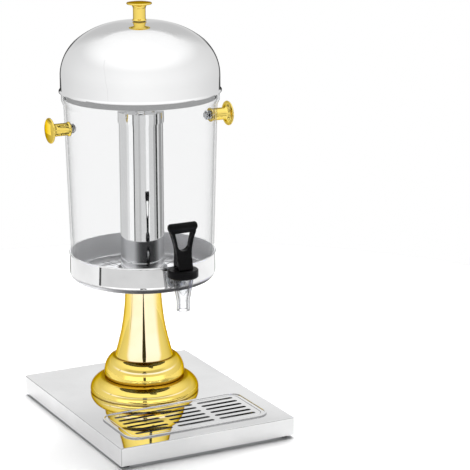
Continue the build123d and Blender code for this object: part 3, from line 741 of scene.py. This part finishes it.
def grid_piece(
    name: str,
    points: np.ndarray,
    round_u: bool = False,
    round_v: bool = False,
) -> bpy.types.Object:
    """A smooth mesh on a grid of points.

    Each cell of the grid is one face. A closed direction joins its last row to its first.

    Args:
        name: The new object's name.
        points: Array of rows by columns by 3.
        round_u: True if the rows close on themselves.
        round_v: True if the columns close on themselves.

    Returns:
        The new object, in the scene.
    """
    rows, columns = points.shape[:2]
    index = np.arange(rows * columns).reshape(rows, columns)
    down = np.roll(index, -1, 0)
    across = np.roll(index, -1, 1)
    both = np.roll(down, -1, 1)
    last_u = rows if round_u else rows - 1
    last_v = columns if round_v else columns - 1
    faces = np.stack([index, down, both, across], -1)[:last_u, :last_v].reshape(-1, 4)
    return mesh_piece(name, points.reshape(-1, 3), faces)


def mesh_piece(name: str, points: np.ndarray, faces: np.ndarray) -> bpy.types.Object:
    """A smooth mesh from its points and faces.

    Args:
        name: The new object's name.
        points: Array of points by 3.
        faces: Array of faces by 4, the numbers of their corners.

    Returns:
        The new object, in the scene.
    """
    mesh = bpy.data.meshes.new(name)
    mesh.from_pydata(points.tolist(), [], faces.tolist())
    mesh.polygons.foreach_set("use_smooth", np.ones(len(faces), bool))
    mesh.update()
    made = bpy.data.objects.new(name, mesh)
    bpy.context.collection.objects.link(made)
    return made


def ring_points(centre: Point, radius: float, section: float, sides: int) -> np.ndarray:
    """Points of a round bead that runs in a level circle.

    A circle of the section's radius is carried round a circle of the given radius, about an upright
    axis.

    Args:
        centre: Middle of the ring.
        radius: From the axis to the middle of the section.
        section: The section's own radius.
        sides: Points round the section.

    Returns:
        Array of points round the ring by points round the section by 3, with faces outwards.
    """
    axis = Vector(UP)
    side = axis.orthogonal().normalized()
    other = axis.cross(side)
    turn = np.linspace(0, 2 * np.pi, RING_STEPS, endpoint=False)[:, None, None]
    roll = np.linspace(0, 2 * np.pi, sides, endpoint=False)[None, :, None]
    outward = np.cos(turn) * np.array(side) + np.sin(turn) * np.array(other)
    rise = np.array(axis) * section * np.sin(roll)
    return np.array(centre) + outward * (radius + section * np.cos(roll)) + rise


@dataclass
class SubAssembly:
    """A group of nodes that are dressed together, with any pieces added to them."""

    frame: dict[str, Any]
    finishes: dict[Slot, bpy.types.Material]

    def dress(self, node: str, finish: bpy.types.Material) -> None:
        """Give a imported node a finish.

        Args:
            node: The node's name.
            finish: The material for all its faces.
        """
        for slot in self.frame["nodes"][node].material_slots:
            slot.material = finish
        LOG.info("node %s: %s", node, finish.name)

    def add(self, piece: bpy.types.Object, body: Body, slot: Slot) -> None:
        """Give a new piece the finish of a slot, and its body.

        Args:
            piece: The piece.
            body: What it rides on.
            slot: Its slot, whose finish it gets.
        """
        piece.data.materials.append(self.finishes[slot])
        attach(piece, body.value)
        LOG.info("piece %s on %s: %d faces", piece.name, body.value, len(piece.data.polygons))


@dataclass
class Everything(SubAssembly):
    """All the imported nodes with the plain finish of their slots."""

    def build(self) -> None:
        """Dress every node by the record's slot."""
        for part in self.frame["record"]["subparts"]:
            self.dress(part["node"], self.finishes[Slot(part["material_slot"])])


@dataclass
class Container(SubAssembly):
    """The pan, the jar and what shows of their rims."""

    axis_y: float = AXIS_Y
    pan_wall: float = 1.4 * MM
    pan_skin: float = 0.6 * MM
    pan_corner: float = 10.0 * MM
    pan_inside: Colour = (0.99, 0.99, 1.0)
    pan_inside_gloss: float = 0.88
    rim_section: float = 0.9 * MM
    rim_inset: float = 0.6 * MM
    jar_floor: float = 4.0 * MM
    jar_inside: float = 97.2 * MM
    jar_corner_radius: float = 4.0 * MM
    line_section: float = 0.9 * MM

    def build(self) -> None:
        """Dress the pan, roll its rim and lay the painted reflection in the jar's corner."""
        low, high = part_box("container_pan")
        radius = (high[0] - low[0]) / 2
        pan = PanSteel(
            "pan steel",
            outside=FINISHES[Slot.POLISHED_STEEL],
            inside=self.pan_inside,
            inside_gloss=self.pan_inside_gloss,
            radius=radius - self.pan_wall,
            floor=low[2] + self.pan_skin,
            corner=self.pan_corner,
            axis_y=self.axis_y,
        )
        self.dress("container_pan", pan.material())
        centre = (0.0, self.axis_y, high[2] - self.rim_section)
        rim = ring_points(centre, radius - self.rim_inset, self.rim_section, ROLL_SIDES)
        self.add(grid_piece("pan_rim_roll", rim, True, True), Body.STAND, Slot.POLISHED_STEEL)
        self.jar_corner()

    def jar_corner(self) -> None:
        """Lay a bright steel line where the jar's floor turns up into its wall: a painted reflection,
        standing for the light that the corner's thick plastic reflects.

        It is a thin round bead that touches the corner's rounding at half its turn.
        """
        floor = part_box("jar")[0][2] + self.jar_floor
        slant = (1.0 - math.sqrt(0.5)) * self.jar_corner_radius + self.line_section
        centre = (0.0, self.axis_y, floor + slant)
        bead = ring_points(centre, self.jar_inside - slant, self.line_section, LINE_SIDES)
        piece = grid_piece("jar_corner_reflection", bead, True, True)
        self.add(piece, Body.STAND, Slot.CLEAR_JAR)
        # A polished steel finish for the painted reflection
        light = Steel("jar corner light", (0.9, 0.9, 0.91), (0.97, 0.97, 0.98), gloss=0.25, haze=0.1)
        piece.data.materials[0] = light.material()


@dataclass
class Pedestal(SubAssembly):
    """The turned pedestal with its two collars."""

    lower_collar: float = 21.5 * MM
    upper_collar: float = 30.5 * MM

    def build(self) -> None:
        """Paint brown shade into the creases at the foot, between the collars and under the column.
        """
        gold = FINISHES[Slot.GOLD_PLATE]
        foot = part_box("pedestal")[0][2]
        step = foot + self.lower_collar
        neck = step + self.upper_collar
        creases = (
            Crease(foot, half=0.5 * MM, soft=1.5 * MM, depth=0.8),
            Crease(step, half=0.2 * MM, soft=1.3 * MM, depth=0.7),
            Crease(neck, half=0.2 * MM, soft=0.8 * MM, depth=0.6),
        )
        plating = Gold("pedestal gold", gold.pale, gold.deep, gold.gloss, gold.haze, creases)
        self.dress("pedestal", plating.material())


@dataclass
class Base(SubAssembly):
    """The folded box of the base and the drip tray let into its top."""

    edge: float = 1.2 * MM
    sheet: float = 1.0 * MM
    rim_crease: float = 0.45 * MM
    bead_crease: float = 0.15 * MM
    well_margin: float = 0.1 * MM

    def build(self) -> None:
        """Paint shade into the folds of the base's top and corners, and into the tray's well, rim and
        bead.
        """
        steel = FINISHES[Slot.POLISHED_STEEL]
        wide, deep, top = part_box("base_housing")[1]
        fold = Crease(top - 0.5 * self.edge, half=0.3 * self.edge, soft=0.1 * self.edge, depth=0.4)
        box = CreasedSteel("base steel", steel, (fold,), half_box=(wide, deep))
        self.dress("base_housing", box.material())
        floor, crest = (corner[2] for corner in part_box("drip_tray"))
        rim = top + self.sheet
        half_well = (top - floor) / 2 + self.well_margin
        bead = (rim + crest) / 2 - self.bead_crease
        creases = (
            Crease((floor + top) / 2, half=half_well, soft=0.2 * MM, depth=0.8),
            Crease(rim - self.rim_crease, half=0.3 * MM, soft=0.1 * MM, depth=0.7),
            Crease(bead, half=0.25 * MM, soft=0.2 * MM, depth=0.6),
        )
        self.dress("drip_tray", CreasedSteel("tray steel", steel, creases).material())


@dataclass
class Lid(SubAssembly):
    """The domed lid with its rolled rim."""

    axis_y: float = AXIS_Y
    rim_section: float = 0.75 * MM

    def build(self) -> None:
        """Roll the lid's rim, which lies on the jar's top, and dress the knob's washer as clear."""
        self.dress("lid_knob_washer", self.finishes[Slot.CLEAR_TAP])
        low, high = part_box("lid_dome")
        radius = (high[0] - low[0]) / 2 - self.rim_section
        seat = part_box("jar")[1][2]
        centre = (0.0, self.axis_y, seat + self.rim_section)
        rim = ring_points(centre, radius, self.rim_section, ROLL_SIDES)
        self.add(grid_piece("lid_rim_roll", rim, True, True), Body.LID, Slot.POLISHED_STEEL)


@dataclass
class Tap(SubAssembly):
    """The tap, whose soft seat cup shows through its clear body."""

    def build(self) -> None:
        """Dress the seat cup as milky silicone."""
        cup = Clear(
            "seat cup",
            tint=(0.95, 0.955, 0.96),
            edge=(0.62, 0.63, 0.64),
            least=0.05,
            most=0.7,
            power=2.5,
            gloss=0.25,
        )
        self.dress("seat_cup", cup.material())


def rotated(first: Vector, second: Vector, angle: float) -> tuple[Vector, Vector]:
    """Two vectors at right angles, turned in their plane.

    Args:
        first: One vector.
        second: The other.
        angle: The turn from the first towards the second, in radians.

    Returns:
        Both vectors after the turn.
    """
    near, far = math.cos(angle), math.sin(angle)
    return first * near + second * far, second * near - first * far


@dataclass
class PhotoCamera:
    """A camera that sees the object as the photograph does."""

    azimuth: float = -25.108
    elevation: float = 13.858
    distance: float = 2.6325
    focus: float = 1909.9
    target: Point = (0.0, 0.0, 0.294)
    aim: tuple[float, float] = (153.1, 213.2)
    roll: float = -0.70
    frame: float = 470.0
    sensor: float = 36.0
    clip: float = 50.0

    def slope(self) -> float:
        """How much the line of sight falls over a level length."""
        return math.tan(math.radians(self.elevation))

    def back(self) -> Vector:
        """The direction from the target to the camera."""
        a, e = math.radians(self.azimuth), math.radians(self.elevation)
        return Vector((math.sin(a) * math.cos(e), -math.cos(a) * math.cos(e), math.sin(e)))

    def build(self) -> None:
        """Place the camera so that the target falls on the aim's pixel, and make it the scene's."""
        data = bpy.data.cameras.new("camera")
        data.sensor_width = self.sensor
        data.lens = self.focus * self.sensor / self.frame
        data.clip_end = self.clip
        made = bpy.data.objects.new("camera", data)
        bpy.context.collection.objects.link(made)
        ahead = -self.back()
        right = ahead.cross(Vector(UP)).normalized()
        right, up = rotated(right, right.cross(ahead), math.radians(self.roll))
        across = (self.aim[0] - self.frame / 2) / self.focus
        above = (self.frame / 2 - self.aim[1]) / self.focus
        yaw = math.atan(across)
        ahead, right = rotated(ahead, right, -yaw)
        pitch = math.atan(above * math.cos(yaw))
        ahead, up = rotated(ahead, up, -pitch)
        place = Vector(self.target) + self.back() * self.distance
        axes = Matrix((right, up, -ahead)).transposed().to_4x4()
        made.matrix_world = Matrix.Translation(place) @ axes
        bpy.context.scene.camera = made


@dataclass(frozen=True)
class Card:
    """A studio card that only mirrors see: a patch of an upright cylinder round the pedestal's axis.

    Angles are in degrees from the camera's side, positive to its right. The top may lean from the
    bottom, or flare by an angle at each side. A soft card fades out over that share of its half width
    and half height. A card with a span is seen only by mirrors whose distance from it lies in the
    span. A flat card lies level, outwards from its reach, as far as the camera's slope carries its
    height, and is seen only from above it, or only from under it.
    """

    name: str
    first: float
    last: float
    reach: float
    low: float
    high: float
    tone: float
    lean: float = 0.0
    soft: float = 0.0
    flare: float = 0.0
    shade: Colour = WHITE
    span: Span | None = None
    flat: bool = False
    under: bool = False

    def middle(self) -> float:
        """The angle half way across."""
        return (self.first + self.last) / 2

    def half_width(self) -> float:
        """Half the angle across."""
        return (self.last - self.first) / 2

    def half_height(self) -> float:
        """Half the height."""
        return (self.high - self.low) / 2


# Where the ice tube's strips start, their heights, and from how far off they are seen
TUBE_REACH = 0.46
TUBE_LOW, TUBE_HIGH = 0.14, 0.42
TUBE_FAR_SPAN: Span = (0.388, 1.75)


def tube_strip(name: str, first: float, last: float, tone: float) -> Card:
    """A flat strip for the ice tube, seen only from as far off as the tube's own wall is."""
    place = (first, last, TUBE_REACH, TUBE_LOW, TUBE_HIGH)
    return Card(name, *place, tone, span=TUBE_FAR_SPAN, flat=True)


# How far off each piece's mirror is from its own cards, which no other mirror sees
DOME_SPAN: Span = (0.14, 0.26)
KNOB_SPAN: Span = (0.0, 0.26)
SKIRT_SPAN: Span = (0.0, 0.2)
PAN_SPAN: Span = (0.13, 0.18)
PAN_FAR_SPAN: Span = (0.4, 0.78)
TUBE_SPAN: Span = (0.18, 0.23)
COLUMN_SPAN: Span = (0.183, 0.224)
CARDS: tuple[Card, ...] = (
    Card(
        "dome_edge_left", -150.0, -114.0, 0.2, 0.4, 0.56, 0.03,
        lean=-20.0, soft=0.45, span=DOME_SPAN,
    ),
    Card(
        "dome_edge_right", 114.0, 150.0, 0.2, 0.4, 0.56, 0.03,
        lean=20.0, soft=0.45, span=DOME_SPAN,
    ),
    Card("knob_left_lit", -122.0, -98.0, 0.3, 0.358, 0.406, 1.35, span=KNOB_SPAN),
    Card("crown_band", 133.0, 227.0, 0.5, 0.56, 1.1, 0.6, soft=0.5),
    Card("dome_line_low", -42.6, -41.8, 0.6, 0.36, 0.66, 0.9, lean=-5.6),
    Card("dome_line_high", -48.4, -47.2, 0.6, 0.66, 1.1, 0.92, lean=-18.0),
    Card("skirt_shade", -60.0, 60.0, 0.2, 0.423, 0.4425, 0.4, span=SKIRT_SPAN),
    Card("skirt_shade_left", -100.0, -60.0, 0.2, 0.423, 0.439, 0.4, span=SKIRT_SPAN),
    Card("skirt_shade_right", 60.0, 100.0, 0.2, 0.423, 0.439, 0.4, span=SKIRT_SPAN),
    Card("skirt_end_left", -135.0, -100.0, 0.2, 0.42, 0.4355, 0.4, span=SKIRT_SPAN),
    Card("skirt_end_right", 100.0, 135.0, 0.2, 0.42, 0.4355, 0.4, span=SKIRT_SPAN),
    Card("pan_left", -175.0, -65.5, 0.45, 0.055, 0.16, 1.05, span=PAN_FAR_SPAN, flat=True),
    Card("pan_front", -62.5, 62.0, 0.45, 0.085, 0.16, 0.8, span=PAN_FAR_SPAN, flat=True),
    Card("pan_line", -66.0, -62.5, 0.45, 0.085, 0.16, 0.08, span=PAN_FAR_SPAN, flat=True),
    Card("pan_edge_left", -152.0, -126.0, 0.2, 0.15, 0.2, 0.2, soft=0.5, span=PAN_SPAN),
    Card("pan_edge_right", 126.0, 152.0, 0.2, 0.15, 0.2, 0.35, soft=0.5, span=PAN_SPAN),
    tube_strip("tube_far_left", -132.0, -80.0, 0.74),
    tube_strip("tube_left", -80.0, -66.0, 0.9),
    tube_strip("tube_bright", -66.0, -42.0, 1.15),
    tube_strip("tube_line", -41.5, -35.5, 0.12),
    tube_strip("tube_middle", -35.0, -14.0, 0.7),
    tube_strip("tube_dip", -14.0, -4.0, 0.6),
    tube_strip("tube_near", -4.0, 24.0, 0.78),
    tube_strip("tube_lit", 24.0, 40.0, 1.1),
    tube_strip("tube_right", 40.0, 66.0, 0.76),
    tube_strip("tube_shade", 66.0, 78.0, 0.48),
    tube_strip("tube_dark", 79.0, 91.0, 0.06),
    tube_strip("tube_gap", 92.0, 104.0, 0.78),
    tube_strip("tube_far_right", 104.0, 132.0, 0.36),
    Card("tube_edge_left", -171.0, -134.0, 0.2, 0.2, 0.4, 0.6, span=TUBE_SPAN),
    Card("tube_edge_right", 134.0, 171.0, 0.2, 0.2, 0.4, 0.4, span=TUBE_SPAN),
    Card(
        "column_glow", -108.0, 116.0, 0.23, 0.115, 0.152, 1.15,
        soft=0.5, shade=(1.08, 1.2, 3.3), span=COLUMN_SPAN,
    ),
    Card("column_edge", -71.1, -68.6, 0.225, 0.12, 0.146, 0.45, span=COLUMN_SPAN),
    Card("column_line", -0.95, 2.05, 0.225, 0.124, 0.1414, 0.04, flare=6.35, span=COLUMN_SPAN),
    Card("collar_lit", -62.0, 62.0, 0.4, -0.02, 0.108, 1.8, soft=0.35, span=(0.2, 0.372)),
    Card(
        "collar_glow", -75.0, 75.0, 0.33, 0.2, 0.45, 0.86,
        soft=0.5, span=(0.25, 2.0), flat=True, under=True,
    ),
    Card("collar_streak", -3.5, 5.0, 0.395, -0.1, 0.108, 0.1, soft=0.3, span=(0.31, 0.372)),
    Card(
        "gold_shade", -75.0, 75.0, 0.35, 0.35, 0.48, 0.62,
        soft=0.4, span=(0.3, 2.0), flat=True, under=True,
    ),
    Card(
        "gold_streak", -4.0, 5.5, 0.22, 0.195, 0.264, 0.1,
        soft=0.3, span=(0.15, 2.0), flat=True, under=True,
    ),
    Card(
        "base_back", 90.0, 270.0, 0.3, 0.2, 0.353, 0.88,
        soft=0.6, span=(0.3, 3.0), flat=True, under=True,
    ),
)


@dataclass
class Studio:
    """Floor, world and the cards that give the mirrors their dark lines and bright bands."""

    camera: PhotoCamera
    axis_y: float = AXIS_Y
    floor_radius: float = 0.95
    floor_rings: int = 24
    floor_spokes: int = 96
    floor_tone: Colour = (0.9, 0.9, 0.9)
    floor_mirrored: Colour = (0.36, 0.36, 0.36)
    floor_glow: float = 0.42
    floor_rough: float = 0.9
    tent_level: float = 0.87
    tent_fall: float = 0.17
    horizon: Span = (-0.25, 0.15)
    horizon_lift: float = 0.03
    crown: Span = (0.45, 0.85)
    crown_lift: float = 0.25
    lamp_azimuth: float = -30.0
    lamp_sides: Span = (0.33, 0.9)
    lamp_rise: Span = (0.42, 0.62)
    lamp_tone: float = 8.2
    lamp_fill: float = 0.03
    cards: tuple[Card, ...] = CARDS
    card_columns: int = 48
    card_rows: int = 12

    def build(self) -> None:
        """Make the whole studio."""
        self.floor()
        self.world()
        for card in self.cards:
            self.card(card)

    def floor(self) -> None:
        """A pale disc that keeps the shadow, drawn in rings and spokes from its middle.

        Mirrors see it darker, with a glow of its own.
        """
        ring = np.linspace(0.0, self.floor_radius, self.floor_rings)[:, None]
        turn = np.linspace(0, 2 * np.pi, self.floor_spokes, endpoint=False)[None, :]
        points = np.stack([ring * np.cos(turn), ring * np.sin(turn), 0.0 * ring * turn], -1)
        disc = grid_piece("floor", points, False, True)
        made, shading = new_material("pale floor")
        mirrored = shading.wire("ShaderNodeLightPath", out="Is Glossy Ray")
        surface = shading.shader(
            Base_Color=shading.blend(mirrored, self.floor_tone, self.floor_mirrored),
            Roughness=self.floor_rough,
            Specular_IOR_Level=0.0,
            Emission_Color=shading.blend(mirrored, BLACK, WHITE),
            Emission_Strength=self.floor_glow,
        )
        shading.show(surface)
        disc.data.materials.append(made)

    def world(self) -> None:
        """White to the eye, a graded tent to the mirrors, and light from behind to all else."""
        made = bpy.data.worlds.new("white tent")
        bpy.context.scene.world = made
        made.use_nodes = True
        shading = Shading(made.node_tree)
        path = shading.node("ShaderNodeLightPath")
        eye = Wire(shading, path.outputs["Is Camera Ray"])
        eye = eye.most(Wire(shading, path.outputs["Is Transmission Ray"]))
        glossy = Wire(shading, path.outputs["Is Glossy Ray"])
        way = shading.wire("ShaderNodeTexCoord", out="Generated")
        away, height = self.heading(shading, way, self.camera.azimuth)
        behind = self.heading(shading, way, self.lamp_azimuth)[0]
        tent = self.tent_level - self.tent_fall * away
        tent = tent + self.horizon_lift * height.ease(*self.horizon)
        tent = tent + self.crown_lift * height.ease(*self.crown)
        facing = behind / (1.0 - height * height) ** 0.5
        lamp = self.lamp_tone * facing.ease(*self.lamp_sides) * height.ease(*self.lamp_rise)
        lamp = self.lamp_fill + lamp
        level = eye + (1.0 - eye) * (glossy * tent + (1.0 - glossy) * lamp)
        sockets = {"Color": (*WHITE, 1.0), "Strength": level}
        light = shading.wire("ShaderNodeBackground", None, sockets)
        shading.node("ShaderNodeOutputWorld", None, {"Surface": light})

    def heading(self, shading: Shading, way: Wire, azimuth: float) -> tuple[Wire, Wire]:
        """How far a direction points away from a viewer at an azimuth, and how far up."""
        faced = shading.mapped(way, Rotation=(0.0, 0.0, -math.radians(azimuth)))
        return shading.parts(faced)[1:]

    def card(self, card: Card) -> None:
        """Make one card, which only mirrors see.

        Args:
            card: Its place, size and tone.
        """
        made = grid_piece(card.name, self.card_points(card))
        look, shading = new_material(card.name)
        shading.show(self.card_light(shading, card))
        made.data.materials.append(look)
        for kind in HIDDEN_FROM:
            setattr(made, f"visible_{kind}", False)

    def card_points(self, card: Card) -> np.ndarray:
        """Points of a card at a fixed reach from the axis, over its angles and heights.

        A flat card's points stay at its low height and go outwards by what they would have risen,
        over the camera's slope.

        Args:
            card: Its place and size.

        Returns:
            Array of columns by rows by 3, with faces up on a flat card seen from above.
        """
        across = np.linspace(-1.0, 1.0, self.card_columns)[:, None]
        rise = np.linspace(0.0, 1.0, self.card_rows)[None, :]
        turn = card.middle() + card.half_width() * across + (card.lean + card.flare * across) * rise
        turn = np.radians(self.camera.azimuth + turn)
        height = card.low + 2 * card.half_height() * rise + 0.0 * turn
        reach = card.reach + 0.0 * turn
        if card.flat:
            reach = reach + (height - card.low) / self.camera.slope()
            height = card.low + 0.0 * turn
        points = np.stack([reach * np.sin(turn), self.axis_y - reach * np.cos(turn), height], -1)
        return points[::-1] if card.flat and not card.under else points

    def card_light(self, shading: Shading, card: Card) -> Wire:
        """A card's glow, clear at soft edges, outside its span and on a flat card's other side.

        Args:
            shading: The card's tree.
            card: Its place, size and tone.

        Returns:
            The shader.
        """
        sockets = {"Color": (*card.shade, 1.0), "Strength": card.tone}
        glow = shading.wire("ShaderNodeEmission", None, sockets)
        clear = shading.wire("ShaderNodeBsdfTransparent")
        if card.soft:
            glow = shading.mix(self.card_fade(shading, card), clear, glow)
        if card.span:
            length = shading.wire("ShaderNodeLightPath", out="Ray Length")
            within = length.above(card.span[0]) * length.below(card.span[1])
            if card.flat:
                within = within * (1.0 - shading.wire("ShaderNodeNewGeometry", out="Backfacing"))
            glow = shading.mix(within, clear, glow)
        return glow

    def card_fade(self, shading: Shading, card: Card) -> Wire:
        """How much of a soft card is there: 1 in its middle, falling smoothly to 0 at its edges.

        Args:
            shading: The card's tree.
            card: Its place and size.

        Returns:
            The share, from 0 to 1.
        """
        facing = math.radians(self.camera.azimuth + card.middle())
        from_axis = shading.mapped(shading.place(), Location=(0.0, -self.axis_y, 0.0))
        x, y, z = shading.parts(from_axis)
        side = x * math.cos(facing) + y * math.sin(facing)
        side = side.math("ARCTAN2", side, x * math.sin(facing) - y * math.cos(facing))
        if card.flat:
            z = card.low + self.camera.slope() * ((x * x + y * y) ** 0.5 - card.reach)
        wide, tall = math.radians(card.half_width()), card.half_height()
        side = abs(side - math.radians(card.lean) * (z - card.low) / (2 * tall))
        rise = abs(z - (card.low + tall))
        firm = 1.0 - card.soft
        return (1.0 - side.ease(wide * firm, wide)) * (1.0 - rise.ease(tall * firm, tall))


def main() -> None:
    """Build the classes in order."""
    logging.basicConfig(level=logging.INFO, format="%(message)s")
    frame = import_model()
    bpy.context.scene.view_settings.view_transform = "Standard"
    finishes = {slot: finish.material() for slot, finish in FINISHES.items()}
    Everything(frame, finishes).build()
    Container(frame, finishes).build()
    Pedestal(frame, finishes).build()
    Base(frame, finishes).build()
    Lid(frame, finishes).build()
    Tap(frame, finishes).build()
    camera = PhotoCamera()
    camera.build()
    Studio(camera).build()


if __name__ == "__main__":
    main()
